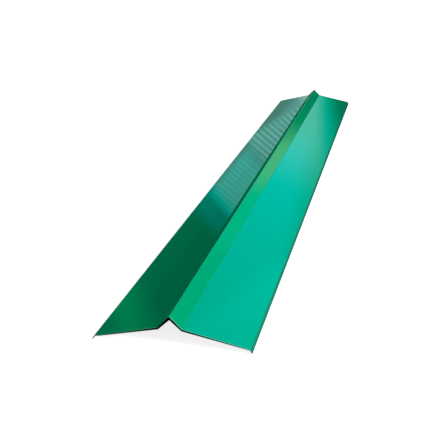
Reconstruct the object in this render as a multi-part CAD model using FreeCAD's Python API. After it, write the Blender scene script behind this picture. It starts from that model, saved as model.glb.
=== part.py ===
import FreeCAD, Part
import math
import os

from FreeCAD import Vector

# Roof ridge cap: one strip of coated steel with five folds along its length. Two wide
# flanges lie on the slopes of a roof, the crown stands up between them over the ridge,
# and the outer edge of each flange is turned down into a drip lip. Lying free, the cap
# stands on its two lips. Both ends are cut square.
# Millimetres and degrees. X runs across the cap, Y along it and Z up, and the origin is
# the middle of the floor under it.

length = 2000.0
sheet_thickness = 0.5

# Each flat is measured over the painted face, between the lines where the folds would
# meet if they were sharp, and its slope is taken down from level.
crown_width = 30.0
crown_slope = 46.5
flange_width = 115.0
flange_slope = 13.0
lip_width = 8.0
lip_slope = 65.0

# The radius of each fold is that of its hollow side.
ridge_fold_radius = 1.0
foot_fold_radius = 2.0
lip_fold_radius = 1.0


def flat_end(start, width, slope):
    # the far edge of a flat which runs outwards and down from its start
    angle = math.radians(slope)
    return start + Vector(width * math.cos(angle), 0, -width * math.sin(angle))


def mirrored(point):
    return Vector(-point.x, point.y, point.z)


def painted_corners():
    # the painted face as sharp corners, from the left lip's edge over the ridge to the
    # right lip's edge
    ridge = Vector(0, 0, 0)
    foot = flat_end(ridge, crown_width, crown_slope)
    drip = flat_end(foot, flange_width, flange_slope)
    edge = flat_end(drip, lip_width, lip_slope)
    return [mirrored(edge), mirrored(drip), mirrored(foot), ridge, foot, drip, edge]


def painted_radii():
    # the painted face is the outer side of the ridge and lip folds, and the hollow side
    # of the foot folds
    ridge = ridge_fold_radius + sheet_thickness
    foot = foot_fold_radius
    lip = lip_fold_radius + sheet_thickness
    return [lip, foot, ridge, foot, lip]


def fold_arc(before, fold, after, radius):
    # the round of one fold, tangent to the flats on both sides of it
    towards_before = (before - fold).normalize()
    towards_after = (after - fold).normalize()
    half_angle = towards_before.getAngle(towards_after) / 2
    reach = radius / math.tan(half_angle)
    sag = radius / math.sin(half_angle) - radius
    middle = fold + (towards_before + towards_after).normalize() * sag
    return Part.Arc(fold + towards_before * reach, middle, fold + towards_after * reach)


def painted_line():
    corners = painted_corners()
    edges = []
    start = corners[0]
    for index, radius in enumerate(painted_radii()):
        arc = fold_arc(corners[index], corners[index + 1], corners[index + 2], radius)
        edges.append(Part.LineSegment(start, arc.StartPoint).toShape())
        edges.append(arc.toShape())
        start = arc.EndPoint
    edges.append(Part.LineSegment(start, corners[-1]).toShape())
    return Part.Wire(edges)


def folded_sheet():
    # the sheet's thickness lies under the painted line, and its lips stand on the floor
    section = painted_line().makeOffset2D(-sheet_thickness, fill=True, openResult=True)
    print("Width of the strip before folding:", round(section.Area / sheet_thickness, 1))
    sheet = section.extrude(Vector(0, length, 0))
    lowest = min(vertex.Z for vertex in sheet.Vertexes)
    sheet.translate(Vector(0, -length / 2, -lowest))
    return sheet


os.makedirs("parts", exist_ok=True)
folded_sheet().exportStep("parts/ridge_cap_sheet.step")
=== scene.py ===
import math

import bmesh
import bpy
from mathutils import Matrix, Vector


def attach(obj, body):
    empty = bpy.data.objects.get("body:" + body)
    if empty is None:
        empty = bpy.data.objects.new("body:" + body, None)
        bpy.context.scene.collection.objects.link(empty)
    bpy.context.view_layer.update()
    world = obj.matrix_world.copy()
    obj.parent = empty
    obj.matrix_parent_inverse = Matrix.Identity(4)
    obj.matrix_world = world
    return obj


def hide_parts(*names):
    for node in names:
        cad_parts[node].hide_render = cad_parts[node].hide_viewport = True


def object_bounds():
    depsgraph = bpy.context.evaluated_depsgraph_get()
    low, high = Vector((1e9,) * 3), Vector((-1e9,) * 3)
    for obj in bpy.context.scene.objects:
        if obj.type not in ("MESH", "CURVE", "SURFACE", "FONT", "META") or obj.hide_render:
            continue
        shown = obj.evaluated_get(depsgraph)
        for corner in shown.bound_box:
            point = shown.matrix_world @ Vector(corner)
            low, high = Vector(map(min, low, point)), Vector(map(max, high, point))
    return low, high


# A roof ridge cap in green coil-coated steel: the folded sheet is remodelled at the size of
# the CAD sheet, with its real thickness, and stands on its two drip lips.

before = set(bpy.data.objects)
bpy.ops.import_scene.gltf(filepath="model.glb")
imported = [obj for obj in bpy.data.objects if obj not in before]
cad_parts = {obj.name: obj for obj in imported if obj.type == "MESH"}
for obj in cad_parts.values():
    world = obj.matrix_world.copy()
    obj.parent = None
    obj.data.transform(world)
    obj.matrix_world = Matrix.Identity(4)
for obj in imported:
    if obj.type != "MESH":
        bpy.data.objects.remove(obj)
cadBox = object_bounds()
scene = bpy.context.scene
scene.view_settings.view_transform = "Standard"
print("Frame loaded, CAD box", [round(side * 1000, 1) for side in cadBox[1] - cadBox[0]], "mm")


def addNode(tree, kind, inputs=None, **settings):
    node = tree.nodes.new(kind)
    for key, value in settings.items():
        setattr(node, key, value)
    for key, value in (inputs or {}).items():
        feed(tree, node.inputs[key], value)
    return node


def feed(tree, socket, value):
    # links another node's output to the socket, or sets a plain value on it
    if isinstance(value, bpy.types.NodeSocket):
        tree.links.new(value, socket)
    else:
        socket.default_value = value


def mixColour(tree, factor, first, second):
    node = addNode(tree, "ShaderNodeMix", data_type="RGBA")
    for name, value in (("Factor_Float", factor), ("A_Color", first), ("B_Color", second)):
        feed(tree, next(socket for socket in node.inputs if socket.identifier == name), value)
    return next(socket for socket in node.outputs if socket.identifier == "Result_Color")


def mathOf(tree, operation, *values):
    node = addNode(tree, "ShaderNodeMath", operation=operation)
    for socket, value in zip(node.inputs, values):
        feed(tree, socket, value)
    return node.outputs[0]


def rampOf(tree, value, low, high, toLow=0.0, toHigh=1.0, curve="LINEAR"):
    return addNode(tree, "ShaderNodeMapRange", {
        "Value": value, "From Min": low, "From Max": high, "To Min": toLow, "To Max": toHigh,
    }, interpolation_type=curve).outputs[0]


def noiseOf(tree, place, scale, detail=1.0, stretch=(1, 1, 1)):
    # a noise field, drawn out along the axes whose stretch is small
    drawn = addNode(tree, "ShaderNodeMapping", {"Vector": place, "Scale": stretch}).outputs[0]
    return addNode(tree, "ShaderNodeTexNoise", {
        "Vector": drawn, "Scale": scale, "Detail": detail,
    }).outputs["Fac"]


def addField(tree, base, field, share):
    # adds to the base how far the field is off its middle
    return mathOf(tree, "MULTIPLY_ADD", mathOf(tree, "SUBTRACT", field, 0.5), share, base)


def addBump(tree, shader, heights, distance):
    # heights are (field, share) pairs, and the relief is distance metres deep where they reach 1
    total = None
    for field, share in heights:
        part = mathOf(tree, "MULTIPLY", field, share)
        total = part if total is None else mathOf(tree, "ADD", total, part)
    bump = addNode(tree, "ShaderNodeBump", {"Height": total, "Distance": distance, "Strength": 1.0})
    tree.links.new(bump.outputs[0], shader.inputs["Normal"])


def newMaterial(name):
    material = bpy.data.materials.new(name)
    material.use_nodes = True
    return material, material.node_tree, material.node_tree.nodes["Principled BSDF"]


def placeIn(tree):
    # the point that is being coloured, in the object's own metres
    return addNode(tree, "ShaderNodeTexCoord").outputs["Object"]


def deselectAll():
    if bpy.context.object and bpy.context.object.mode != "OBJECT":
        bpy.ops.object.mode_set(mode="OBJECT")
    bpy.ops.object.select_all(action="DESELECT")


def pickEdges(test):
    # selects the edges of the mesh in edit mode whose two ends pass the test
    mesh = bmesh.from_edit_mesh(bpy.context.object.data)
    bpy.ops.mesh.select_all(action="DESELECT")
    for edge in mesh.edges:
        edge.select = test(edge.verts[0].co, edge.verts[1].co)
    mesh.select_flush_mode()
    bmesh.update_edit_mesh(bpy.context.object.data)


def applyModifier(kind, **settings):
    sheetObject = bpy.context.object
    bpy.ops.object.modifier_add(type=kind)
    modifier = sheetObject.modifiers[-1]
    for key, value in settings.items():
        setattr(modifier, key, value)
    bpy.ops.object.modifier_apply(modifier=modifier.name)


# The folded sheet. Sizes are in metres and slopes in degrees down from level.
sheet = {
    "length": 2.0,
    "thickness": 0.0005,
    "crownWidth": 0.030,  # widths run over the painted face, from fold to fold
    "crownSlope": 46.5,
    "flangeWidth": 0.115,
    "flangeSlope": 13.0,
    "lipWidth": 0.008,
    "lipSlope": 65.0,
    "ridgeRadius": 0.00153,  # of the painted face, a trifle over the CAD's to stay in its box
    "footRadius": 0.0020,
    "lipRadius": 0.0015,
    "ridgeSegments": 8,
    "footSegments": 4,
    "lipSegments": 6,
    "lengthCuts": 79,
    "flangeCuts": 9,
    "crownCuts": 2,
    "waveHeight": 0.00008,  # how far the flanges wander, as no sheet is dead flat
    "waveSize": 0.30,
    "waveHold": 0.15,  # the wander dies away this far from both ends
    "edgeBreak": 0.00005,  # the sheared edges are not knife sharp
    "sharpTurn": 60.0,  # an edge that turns more than this is a sheared one
    "smoothTurn": 30.0,  # and one that turns less than this is smooth
}
hair = 1e-5  # points closer than this are at one place


def flatRun(width, slope):
    angle = math.radians(slope)
    return Vector((width * math.cos(angle), 0, -width * math.sin(angle)))


# how the painted face runs out and down from the ridge, and how far out its folds are
crown = flatRun(sheet["crownWidth"], sheet["crownSlope"])
flange = flatRun(sheet["flangeWidth"], sheet["flangeSlope"])
lip = flatRun(sheet["lipWidth"], sheet["lipSlope"])
footX = crown.x
dripX = crown.x + flange.x


def foldReach(radius, turn):
    # how far from the sharp corner the round of a fold starts
    return radius * math.tan(math.radians(turn) / 2)


def lengthwise(start, end):
    return abs(start.y - end.y) > sheet["length"] / 2


def crosswise(lowest, highest):
    # picks edges across the broad flats, whose middle lies between two distances from the ridge
    def test(start, end):
        level = abs(start.y - end.y) < hair
        broad = abs(start.x - end.x) > sheet["lipWidth"]
        return level and broad and lowest < abs(start.x + end.x) / 2 < highest
    return test


def roundFold(x, radius, turn, segments):
    def onFold(start, end):
        near = abs(abs(start.x) - x) < hair and abs(abs(end.x) - x) < hair
        return near and lengthwise(start, end)

    pickEdges(onFold)
    bpy.ops.mesh.bevel(
        offset_type="OFFSET", offset=foldReach(radius, turn), segments=segments,
        profile=0.5, affect="EDGES",
    )


def makeFoldedFace():
    # one crown face from a plane, laid down to its slope about the ridge
    deselectAll()
    bpy.ops.mesh.primitive_plane_add(size=1, location=(0, 0, 0))
    face = bpy.context.object
    face.name = "ridgeCapSheet"
    bpy.ops.object.mode_set(mode="EDIT")
    bpy.ops.mesh.select_mode(type="EDGE")
    bpy.ops.mesh.select_all(action="SELECT")
    bpy.ops.transform.resize(value=(crown.x, sheet["length"], 1))
    bpy.ops.transform.translate(value=(crown.x / 2, 0, 0))
    pickEdges(lambda start, end: min(start.x, end.x) > footX - hair)
    bpy.ops.transform.translate(value=(0, 0, crown.z))
    # the flange and then its lip are pulled out of the crown's foot
    bpy.ops.mesh.extrude_region_move(TRANSFORM_OT_translate={"value": flange})
    bpy.ops.mesh.extrude_region_move(TRANSFORM_OT_translate={"value": lip})
    bpy.ops.object.mode_set(mode="OBJECT")
    applyModifier("MIRROR", use_axis=(True, False, False), use_mirror_merge=True, merge_threshold=hair)

    bpy.ops.object.mode_set(mode="EDIT")
    bpy.ops.mesh.select_all(action="SELECT")
    bpy.ops.mesh.remove_doubles(threshold=hair)
    bpy.ops.mesh.normals_make_consistent(inside=False)
    if sum(part.normal.z for part in bmesh.from_edit_mesh(face.data).faces) < 0:
        bpy.ops.mesh.flip_normals()
    # five folds, each with the round of its own tool
    roundFold(0, sheet["ridgeRadius"], 2 * sheet["crownSlope"], sheet["ridgeSegments"])
    footTurn = sheet["crownSlope"] - sheet["flangeSlope"]
    roundFold(footX, sheet["footRadius"], footTurn, sheet["footSegments"])
    lipTurn = sheet["lipSlope"] - sheet["flangeSlope"]
    roundFold(dripX, sheet["lipRadius"], lipTurn, sheet["lipSegments"])

    # the flats are divided so that they can wander a little
    pickEdges(crosswise(footX, dripX))
    bpy.ops.mesh.subdivide(number_cuts=sheet["flangeCuts"])
    pickEdges(crosswise(0, footX))
    bpy.ops.mesh.subdivide(number_cuts=sheet["crownCuts"])
    pickEdges(lengthwise)
    bpy.ops.mesh.subdivide(number_cuts=sheet["lengthCuts"])
    bpy.ops.object.mode_set(mode="OBJECT")
    return face


def addWander(face):
    # a faint wander of the flanges, held at the folds and at both ends
    wander = face.vertex_groups.new(name="wander")
    for vertex in face.data.vertices:
        across = (abs(vertex.co.x) - footX) / (dripX - footX)
        toEnd = (sheet["length"] / 2 - abs(vertex.co.y)) / sheet["waveHold"]
        weight = math.sin(math.pi * min(max(across, 0), 1)) * min(max(toEnd, 0), 1)
        wander.add([vertex.index], weight, "REPLACE")
    waves = bpy.data.textures.new("sheetWander", type="CLOUDS")
    waves.noise_scale = sheet["waveSize"]
    waves.noise_depth = 0
    applyModifier(
        "DISPLACE", texture=waves, texture_coords="LOCAL", direction="Z", vertex_group="wander",
        strength=2 * sheet["waveHeight"], mid_level=0.5,
    )


def makeSheet():
    ridgeCap = makeFoldedFace()
    addWander(ridgeCap)
    # the lips stand on the floor
    drop = crown.z + flange.z + lip.z
    lift = -drop + sheet["thickness"] * math.cos(math.radians(sheet["lipSlope"]))
    bpy.ops.object.mode_set(mode="EDIT")
    bpy.ops.mesh.select_all(action="SELECT")
    bpy.ops.transform.translate(value=(0, 0, lift))
    bpy.ops.object.mode_set(mode="OBJECT")
    # the sheet gets its thickness, with the back coat below and the sheared edge all round
    for material in (greenCoat, backCoat, cutEdge):
        ridgeCap.data.materials.append(material)
    applyModifier(
        "SOLIDIFY", thickness=sheet["thickness"], offset=-1, use_even_offset=True, use_rim=True,
        material_offset=1, material_offset_rim=2,
    )
    applyModifier(
        "BEVEL", width=sheet["edgeBreak"], segments=1, limit_method="ANGLE",
        angle_limit=math.radians(sheet["sharpTurn"]), offset_type="OFFSET",
    )
    bpy.ops.object.shade_smooth_by_angle(angle=math.radians(sheet["smoothTurn"]))
    # the broad flats keep their own normals right up to the folds, so that the gloss stays even
    applyModifier("WEIGHTED_NORMAL", mode="FACE_AREA", weight=100, keep_sharp=True)
    return ridgeCap


# The painted face: a glossy coil coat, with the broad cloudiness, fine pigment grain and faint
# roller lines of such paint, slight orange peel, a paler line over the folds that is partly
# stretched film and partly painted highlight, a painted highlight along the sheared ends and
# painted shade on the lips.
coat = {
    "colour": (0.0, 0.330, 0.155, 1),
    "deepColour": (0.0, 0.300, 0.138, 1),
    "stretchAndHighlightColour": (0.015, 0.375, 0.200, 1),
    "lipShadeColour": (0.008, 0.200, 0.135, 1),
    "lipShadeTop": 0.0072,  # the painted shade on the lips comes in between these two heights
    "lipShadeBottom": 0.0062,
    "cloudScale": 2.6,
    "grainScale": 1500.0,
    "grainShare": 1.0,
    "rollerScale": 240.0,  # lines in a metre across the sheet
    "rollerStretch": (1, 0.006, 1),
    "rollerShare": 1.2,
    "foldHalf": 0.0009,
    "brokenScale": 90.0,
    "brokenRange": (0.42, 0.62),
    "brokenShare": 0.55,
    "endHighlightColour": (0.060, 0.370, 0.200, 1),
    "endHighlightFrom": 0.0032,  # a painted highlight runs paler along the sheared ends
    "endHighlightTo": 0.0016,
    "roughness": (0.024, 0.042),
    "smudgeScale": 7.0,
    "smudgeRange": (0.3, 0.7),
    "rollerDullness": 0.5,
    "refraction": 1.5,
    "peelScale": 620.0,
    "peelHeight": 0.0000022,
    "grainHeight": 0.05,  # as a share of the peel's
}


def makeGreenCoat():
    material, tree, shader = newMaterial("greenCoilCoat")
    place = placeIn(tree)
    clouds = noiseOf(tree, place, coat["cloudScale"], 2.0)
    grain = noiseOf(tree, place, coat["grainScale"], 2.0)
    roller = noiseOf(tree, place, coat["rollerScale"], 2.0, coat["rollerStretch"])
    # clouds carry most of the tone, with grain and roller lines on top
    grained = addField(tree, clouds, grain, coat["grainShare"])
    lined = addField(tree, grained, roller, coat["rollerShare"])
    tone = mixColour(tree, lined, coat["deepColour"], coat["colour"])
    # a broken paler line over the ridge and lip folds, partly film stretched over them and partly a
    # painted highlight
    split = addNode(tree, "ShaderNodeSeparateXYZ", {"Vector": place}).outputs
    fromRidge = mathOf(tree, "ABSOLUTE", split["X"])
    fromLip = mathOf(tree, "ABSOLUTE", mathOf(tree, "SUBTRACT", fromRidge, dripX))
    fromFold = mathOf(tree, "MINIMUM", fromRidge, fromLip)
    stretchAndHighlight = rampOf(tree, fromFold, coat["foldHalf"], 0.0)
    torn = noiseOf(tree, place, coat["brokenScale"], 3.0, (1, 0.25, 1))
    broken = rampOf(tree, torn, *coat["brokenRange"], 0.0, coat["brokenShare"])
    tone = mixColour(tree, mathOf(tree, "MULTIPLY", stretchAndHighlight, broken), tone, coat["stretchAndHighlightColour"])
    # and a thin painted highlight along the sheared ends, where light would catch their rolled edge
    fromMiddle = mathOf(tree, "ABSOLUTE", split["Y"])
    fromEnd = mathOf(tree, "SUBTRACT", sheet["length"] / 2, fromMiddle)
    paintedEndHighlight = rampOf(tree, fromEnd, coat["endHighlightFrom"], coat["endHighlightTo"])
    tone = mixColour(tree, paintedEndHighlight, tone, coat["endHighlightColour"])
    # painted shade: the turned-down lips are painted a deeper tone in place of the shade they would
    # lie in
    paintedLipShade = rampOf(tree, split["Z"], coat["lipShadeTop"], coat["lipShadeBottom"])
    feed(tree, shader.inputs["Base Color"], mixColour(tree, paintedLipShade, tone, coat["lipShadeColour"]))

    smudge = noiseOf(tree, place, coat["smudgeScale"], 4.0, (1, 0.35, 1))
    dullness = addField(tree, smudge, roller, coat["rollerDullness"])
    roughness = rampOf(tree, dullness, *coat["smudgeRange"], *coat["roughness"])
    feed(tree, shader.inputs["Roughness"], roughness)
    feed(tree, shader.inputs["IOR"], coat["refraction"])
    peel = noiseOf(tree, place, coat["peelScale"], 1.0)
    addBump(tree, shader, [(peel, 1.0), (grain, coat["grainHeight"])], coat["peelHeight"])
    return material


# The face that goes under: a thin grey primer, matt, with roller lines and specks; its greys are
# painted very dark, as painted shade for the underside that lies in the sheet's shadow.
shadedPrimer = {
    "colour": (0.060, 0.068, 0.064, 1),
    "deepColour": (0.038, 0.044, 0.041, 1),
    "speckColour": (0.120, 0.128, 0.124, 1),
    "cloudScale": 5.0,
    "rollerScale": 300.0,  # lines in a metre across the sheet
    "rollerStretch": (1, 0.008, 1),
    "rollerShare": 1.6,
    "toneRange": (0.25, 0.75),
    "speckScale": 900.0,
    "speckRange": (0.68, 0.76),
    "speckShare": 0.5,
    "roughness": (0.38, 0.55),
    "relief": 0.000004,
    "speckHeight": 0.6,  # as a share of the relief
}


def makeBackCoat():
    material, tree, shader = newMaterial("shadedGreyBackCoat")
    place = placeIn(tree)
    clouds = noiseOf(tree, place, shadedPrimer["cloudScale"], 3.0)
    roller = noiseOf(tree, place, shadedPrimer["rollerScale"], 2.0, shadedPrimer["rollerStretch"])
    lined = addField(tree, clouds, roller, shadedPrimer["rollerShare"])
    specks = rampOf(tree, noiseOf(tree, place, shadedPrimer["speckScale"], 1.0), *shadedPrimer["speckRange"])
    shown = mathOf(tree, "MULTIPLY", specks, shadedPrimer["speckShare"])
    tone = mixColour(
        tree, rampOf(tree, lined, *shadedPrimer["toneRange"]), shadedPrimer["deepColour"], shadedPrimer["colour"],
    )
    feed(tree, shader.inputs["Base Color"], mixColour(tree, shown, tone, shadedPrimer["speckColour"]))
    roughness = rampOf(tree, lined, *shadedPrimer["toneRange"], *shadedPrimer["roughness"])
    feed(tree, shader.inputs["Roughness"], roughness)
    addBump(tree, shader, [(roller, 1.0), (specks, shadedPrimer["speckHeight"])], shadedPrimer["relief"])
    return material


# The sheared edge: torn steel with glints of zinc, the steel painted darker and greener than bare
# steel as painted shade for the dark line along the ends.
edge = {
    "steelShadeColour": (0.030, 0.048, 0.042, 1),
    "zincColour": (0.30, 0.32, 0.32, 1),
    "tornScale": 2600.0,
    "tornStretch": (0.3, 1, 1),
    "glintRange": (0.60, 0.72),
    "glintShare": 0.6,
    "roughRange": (0.3, 0.7),
    "roughness": (0.35, 0.65),
    "metal": 0.5,
    "relief": 0.00001,
}


def makeCutEdge():
    material, tree, shader = newMaterial("shadedShearedEdge")
    torn = noiseOf(tree, placeIn(tree), edge["tornScale"], 2.0, edge["tornStretch"])
    glints = mathOf(tree, "MULTIPLY", rampOf(tree, torn, *edge["glintRange"]), edge["glintShare"])
    tone = mixColour(tree, glints, edge["steelShadeColour"], edge["zincColour"])
    feed(tree, shader.inputs["Base Color"], tone)
    roughness = rampOf(tree, torn, *edge["roughRange"], *edge["roughness"])
    feed(tree, shader.inputs["Roughness"], roughness)
    feed(tree, shader.inputs["Metallic"], edge["metal"])
    addBump(tree, shader, [(torn, 1.0)], edge["relief"])
    return material


greenCoat = makeGreenCoat()
backCoat = makeBackCoat()
cutEdge = makeCutEdge()
ridgeCap = makeSheet()
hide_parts("ridge_cap_sheet")
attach(ridgeCap, "root")
print("Sheet folded:", len(ridgeCap.data.polygons), "faces")


floor = {
    "size": 60.0,
    "colour": (0.8, 0.8, 0.8, 1),
    "shadeColour": (0.02, 0.03, 0.025, 1),
    "glowNear": 0.78,  # how much of the floor's white is its own, by the cap
    "glowFar": 1.0,
    "nearDistance": 0.6,
    "farDistance": 1.8,
    "shadeReach": 1.66,  # light comes in under the ends this many sheet heights deep
    "shadeLean": 0.53,  # and this many sheet heights to the left
    "shadeEdge": 0.0008,
    "underFrom": 0.134,  # the shade stays between the lips
    "underTo": 0.130,
}


def seenDirectly(tree):
    # 1 for camera, glossy and transmission rays
    path = addNode(tree, "ShaderNodeLightPath").outputs
    either = mathOf(tree, "MAXIMUM", path["Is Camera Ray"], path["Is Glossy Ray"])
    return mathOf(tree, "MAXIMUM", either, path["Is Transmission Ray"])


def capShade(tree, place):
    # 1 where the cap shades the floor under its ends, as with a lamp over the viewer's
    # shoulder: light that comes in lower than the sheet's end edge reaches the floor
    split = addNode(tree, "ShaderNodeSeparateXYZ", {"Vector": place}).outputs
    along = mathOf(tree, "ABSOLUTE", split["Y"])
    depth = mathOf(tree, "SUBTRACT", sheet["length"] / 2, along)
    rise = mathOf(tree, "DIVIDE", depth, floor["shadeReach"])
    entry = mathOf(tree, "MULTIPLY_ADD", rise, floor["shadeLean"], split["X"])
    across = mathOf(tree, "ABSOLUTE", entry)
    # the end edge follows the crown and then the flange
    crownFall = math.tan(math.radians(sheet["crownSlope"]))
    flangeFall = math.tan(math.radians(sheet["flangeSlope"]))
    ridgeTop = cadBox[1].z
    flangeTop = ridgeTop - footX * (crownFall - flangeFall)
    crownHeight = mathOf(tree, "MULTIPLY_ADD", across, -crownFall, ridgeTop)
    flangeHeight = mathOf(tree, "MULTIPLY_ADD", across, -flangeFall, flangeTop)
    over = mathOf(tree, "SUBTRACT", rise, mathOf(tree, "MAXIMUM", crownHeight, flangeHeight))
    shaded = rampOf(tree, over, 0.0, floor["shadeEdge"])
    fromMiddle = mathOf(tree, "ABSOLUTE", split["X"])
    under = rampOf(tree, fromMiddle, floor["underFrom"], floor["underTo"])
    return mathOf(tree, "MULTIPLY", shaded, under)


def makeFloor():
    material, tree, shader = newMaterial("paleFloor")
    tree.nodes.remove(shader)
    place = placeIn(tree)
    distance = addNode(tree, "ShaderNodeVectorMath", {0: place}, operation="LENGTH").outputs["Value"]
    glow = rampOf(
        tree, distance, floor["nearDistance"], floor["farDistance"], floor["glowNear"],
        floor["glowFar"], "SMOOTHSTEP",
    )
    shade = capShade(tree, place)
    glow = mathOf(tree, "MULTIPLY", glow, mathOf(tree, "SUBTRACT", 1.0, shade))
    strength = mathOf(tree, "MULTIPLY", glow, seenDirectly(tree))
    tone = mixColour(tree, shade, floor["colour"], floor["shadeColour"])
    matt = addNode(tree, "ShaderNodeBsdfDiffuse", {"Color": tone})
    light = addNode(tree, "ShaderNodeEmission", {"Color": (1, 1, 1, 1), "Strength": strength})
    both = addNode(tree, "ShaderNodeAddShader", {0: matt.outputs[0], 1: light.outputs[0]})
    tree.links.new(both.outputs[0], tree.nodes["Material Output"].inputs["Surface"])
    deselectAll()
    bpy.ops.mesh.primitive_plane_add(size=floor["size"], location=(0, 0, 0))
    ground = bpy.context.object
    ground.name = "floor"
    ground.data.materials.append(material)


# The white room, the card far behind the cap and the dark mat before it, in metres.
room = {
    "ambient": (0.33, 0.33, 0.33, 1),
    "cardAway": 12.0,
    "cardWidth": 30.0,
    "cardHeight": 14.0,
    "matDepth": 15.0,
    "matColour": (0.0, 0.03, 0.02, 1),
    "matHeight": 0.0003,  # just clear of the floor
}


def makeWorld():
    world = bpy.data.worlds.new("studio")
    scene.world = world
    world.use_nodes = True
    tree = world.node_tree
    background = tree.nodes["Background"]
    feed(tree, background.inputs["Color"], room["ambient"])
    feed(tree, background.inputs["Strength"], 1.0)
    white = addNode(tree, "ShaderNodeBackground", {"Color": (1, 1, 1, 1), "Strength": 1.0})
    mix = addNode(tree, "ShaderNodeMixShader", {
        0: seenDirectly(tree), 1: background.outputs[0], 2: white.outputs[0],
    })
    tree.links.new(mix.outputs[0], tree.nodes["World Output"].inputs["Surface"])


# What the gloss mirrors: soft fields of light on a far card, between straight borders.
# A border is its lean in degrees to the right of upright, a point on it in metres across
# and up, and its softness in metres. A border that lies over by 90 degrees is a sill.
borders = {
    "hazeLeft": (15, (-5.25, 2.0), 0.20),
    "windowLeft": (15, (-4.8, 2.0), 0.12),
    "glowLeft": (15, (-4.6, 2.0), 0.15),
    "fineRight": (15, (-3.65, 2.0), 0.15),
    "blindsLeft": (15, (-3.45, 2.0), 0.10),
    "farLeft": (15, (-2.1, 2.0), 0.15),
    "leftEnd": (0, (-1.5, 2.0), 0.35),
    "windowSill": (115, (-3.0, 1.5), 0.08),
    "blindsSill": (95, (-2.9, 1.53), 0.08),
    "lowSill": (110, (-2.6, 1.40), 0.10),
    "hazeSill": (110, (-3.0, 1.2), 0.15),
    "boxRight": (35, (-0.2, 2.0), 0.20),
    "topSill": (92, (0.0, 3.3), 0.70),
    "topRight": (15, (-0.15, 2.0), 0.30),
    "ceilingLeft": (-25, (0.45, 6.4), 0.30),
    "cornerTop": (95, (0.0, 3.7), 0.70),
    "cornerRight": (28, (-0.35, 2.0), 0.15),
    "middleEnd": (0, (2.2, 2.0), 0.50),
    "warmLeft": (0, (3.0, 2.0), 0.35),
    "tealLeft": (0, (3.95, 2.0), 0.30),
    "tealRight": (0, (5.4, 2.0), 0.45),
    "farGlowLeft": (0, (-8.0, 2.0), 0.35),
    "farGlowRight": (0, (-7.2, 2.0), 0.40),
    "farGlowSill": (90, (-7.0, 2.6), 0.30),
    "cardLeft": (0, (-12.0, 2.0), 2.50),
    "cardRight": (0, (12.0, 2.0), 2.50),
    "cardTop": (90, (0.0, 12.0), 1.50),
}
# Stripes are their lean in degrees, their pitch in metres and how strong they are.
fields = {
    "dimWall": {"colour": (0.0, 0.14, 0.05)},
    "haze": {
        "colour": (0.0, 0.19, 0.24), "rightOf": "hazeLeft", "leftOf": "leftEnd",
        "above": "hazeSill",
    },
    "glow": {
        "colour": (0.15, 0.0, 0.04), "rightOf": "glowLeft", "leftOf": "leftEnd",
        "above": "hazeSill",
    },
    "window": {
        "colour": (0.0, 0.28, 0.26), "rightOf": "windowLeft", "leftOf": "blindsLeft",
        "above": "lowSill",
    },
    "fineBlinds": {
        "colour": (0.0, 0.26, 0.20), "rightOf": "windowLeft", "leftOf": "fineRight",
        "above": "windowSill", "stripes": (24, 0.096, 0.6),
    },
    "slantedBlinds": {
        "colour": (0.12, 0.42, 0.38), "rightOf": "blindsLeft", "leftOf": "leftEnd",
        "above": "blindsSill", "stripes": (24, 0.096, 0.75),
    },
    "lowPane": {
        "colour": (0.10, 0.30, 0.28), "leftOf": "leftEnd", "below": "blindsSill",
        "above": "lowSill",
    },
    "farPane": {
        "colour": (0.40, 0.35, 0.32), "rightOf": "farLeft", "leftOf": "leftEnd",
    },
    "farGlow": {
        "colour": (0.0, 0.40, 0.09), "rightOf": "farGlowLeft", "leftOf": "farGlowRight",
        "above": "farGlowSill",
    },
    "coolBox": {
        "colour": (0.0, 0.77, 0.66), "rightOf": "leftEnd", "leftOf": "boxRight",
    },
    "coolTop": {
        "colour": (0.0, 0.65, 0.87), "rightOf": "leftEnd", "leftOf": "topRight",
        "above": "topSill",
    },
    "coolCeiling": {
        "colour": (0.0, 0.45, 0.40), "rightOf": "ceilingLeft", "leftOf": "middleEnd",
    },
    "paleCorner": {
        "colour": (0.27, 0.25, 0.22), "rightOf": "leftEnd", "leftOf": "cornerRight",
        "below": "cornerTop",
    },
    "warmPanel": {
        "colour": (0.29, 0.66, 0.23), "rightOf": "warmLeft", "leftOf": "tealLeft",
    },
    "tealPanel": {
        "colour": (0.0, 0.62, 0.40), "rightOf": "tealLeft", "leftOf": "tealRight",
    },
}
# which side of a border each word lights
sides = {"rightOf": 1, "below": 1, "leftOf": -1, "above": -1}
# Blinds are narrow bright lines with wider gaps, and hang a little crooked.
blinds = {
    "texturePitch": 0.314,  # of the wave texture at scale 1
    "crooked": 2.4,
    "crookedScale": 0.6,
    "narrow": 2.0,
    "gain": 2.67,  # brings the mean of the lines back to about 1
}


def borderMask(tree, place, name, side):
    # 1 on one side of a border and 0 on the other
    lean, point, softness = borders[name]
    across = Vector((math.cos(math.radians(lean)), 0, -math.sin(math.radians(lean)))) * side
    reach = addNode(
        tree, "ShaderNodeVectorMath", {0: place, 1: across}, operation="DOT_PRODUCT",
    ).outputs["Value"]
    middle = across.dot(Vector((point[0], 0, point[1])))
    return rampOf(tree, reach, middle - softness, middle + softness, curve="SMOOTHSTEP")


def stripePattern(tree, place, stripes):
    lean, pitch, contrast = stripes
    turned = addNode(tree, "ShaderNodeMapping", {
        "Vector": place, "Rotation": (0, math.radians(-lean), 0),
    })
    waves = addNode(tree, "ShaderNodeTexWave", {
        "Vector": turned.outputs[0], "Scale": blinds["texturePitch"] / pitch,
        "Distortion": blinds["crooked"], "Detail": 2.0, "Detail Scale": blinds["crookedScale"],
    })
    narrow = mathOf(tree, "POWER", waves.outputs["Fac"], blinds["narrow"])
    lines = mathOf(tree, "MULTIPLY", narrow, blinds["gain"] * contrast)
    return mathOf(tree, "ADD", lines, 1.0 - contrast)


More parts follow.
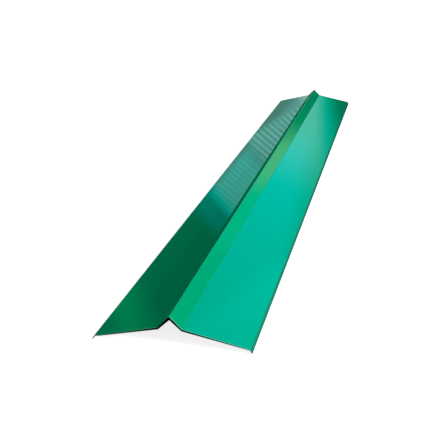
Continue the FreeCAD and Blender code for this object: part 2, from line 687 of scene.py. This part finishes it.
def makeCardPaint():
    material, tree, shader = newMaterial("backdropPaint")
    tree.nodes.remove(shader)
    place = placeIn(tree)
    # the card fades into the white room at its ends and its top
    card = 1.0
    for word, name in (("rightOf", "cardLeft"), ("leftOf", "cardRight"), ("below", "cardTop")):
        card = mathOf(tree, "MULTIPLY", card, borderMask(tree, place, name, sides[word]))
    total = addNode(tree, "ShaderNodeEmission", {
        "Color": (1, 1, 1, 1), "Strength": mathOf(tree, "SUBTRACT", 1.0, card),
    }).outputs[0]
    for field in fields.values():
        mask = card
        for word, side in sides.items():
            if word in field:
                mask = mathOf(tree, "MULTIPLY", mask, borderMask(tree, place, field[word], side))
        if "stripes" in field:
            mask = mathOf(tree, "MULTIPLY", mask, stripePattern(tree, place, field["stripes"]))
        light = addNode(tree, "ShaderNodeEmission", {
            "Color": (*field["colour"], 1), "Strength": mask,
        }).outputs[0]
        total = addNode(tree, "ShaderNodeAddShader", {0: total, 1: light}).outputs[0]
    tree.links.new(total, tree.nodes["Material Output"].inputs["Surface"])
    return material


def startStagePiece(name, width, height):
    # a plane of the stage, still flat and in edit mode
    deselectAll()
    bpy.ops.mesh.primitive_plane_add(size=1, location=(0, 0, 0))
    bpy.context.object.name = name
    bpy.ops.object.mode_set(mode="EDIT")
    bpy.ops.mesh.select_all(action="SELECT")
    bpy.ops.transform.resize(value=(width, height, 1))


def finishStagePiece(material):
    # back in object mode, and seen only in reflection
    bpy.ops.object.mode_set(mode="OBJECT")
    piece = bpy.context.object
    piece.data.materials.append(material)
    piece.visible_camera = False
    piece.visible_diffuse = False
    piece.visible_transmission = False
    piece.visible_shadow = False
    return piece


def makeBackdrop():
    startStagePiece("backdrop", room["cardWidth"], room["cardHeight"])
    bpy.ops.transform.rotate(value=math.radians(90), orient_axis="X", center_override=(0, 0, 0))
    bpy.ops.transform.translate(value=(0, room["cardAway"], room["cardHeight"] / 2))
    wall = finishStagePiece(makeCardPaint())


def makeDarkMat():
    # a dark cloth over the floor keeps the steep faces deep
    material, tree, shader = newMaterial("blackCloth")
    feed(tree, shader.inputs["Base Color"], room["matColour"])
    feed(tree, shader.inputs["Roughness"], 1.0)
    feed(tree, shader.inputs["Specular IOR Level"], 0.0)
    startStagePiece("darkMat", room["cardWidth"], room["matDepth"])
    middle = room["cardAway"] - room["matDepth"] / 2
    bpy.ops.transform.translate(value=(0, middle, room["matHeight"]))
    mat = finishStagePiece(material)


lamps = {
    "keySoftbox": {
        "place": (2.6, -1.4, 1.0), "aim": (0.0, -0.1, 0.03), "size": (0.9, 0.6),
        "watts": 92.0, "colour": (1, 1, 1),
    },
}


def makeLamp(name, values):
    data = bpy.data.lights.new(name, type="AREA")
    data.shape = "RECTANGLE"
    data.size, data.size_y = values["size"]
    data.energy = values["watts"]
    data.color = values["colour"]
    lamp = bpy.data.objects.new(name, data)
    scene.collection.objects.link(lamp)
    lamp.location = values["place"]
    lamp.rotation_mode = "QUATERNION"
    towards = Vector(values["aim"]) - Vector(values["place"])
    lamp.rotation_quaternion = towards.to_track_quat("-Z", "Y")


makeFloor()
makeWorld()
makeBackdrop()
makeDarkMat()
for lampName, lampValues in lamps.items():
    makeLamp(lampName, lampValues)
print("Floor, backdrop and light are up")


view = {
    "place": (0.351, -2.079, 0.624),
    "turn": 13.64,  # degrees to the left of the cap's length
    "down": 19.77,
    "roll": -1.57,
    "lens": 64.06,
    "sensor": 36.0,
}
cameraData = bpy.data.cameras.new("camera")
cameraData.lens = view["lens"]
cameraData.sensor_width = view["sensor"]
camera = bpy.data.objects.new("camera", cameraData)
scene.collection.objects.link(camera)
turned = Matrix.Rotation(math.radians(view["turn"]), 4, "Z")
tilted = Matrix.Rotation(math.radians(90 - view["down"]), 4, "X")
rolled = Matrix.Rotation(math.radians(view["roll"]), 4, "Z")
camera.matrix_world = Matrix.Translation(view["place"]) @ turned @ tilted @ rolled
scene.camera = camera
print("Camera set")
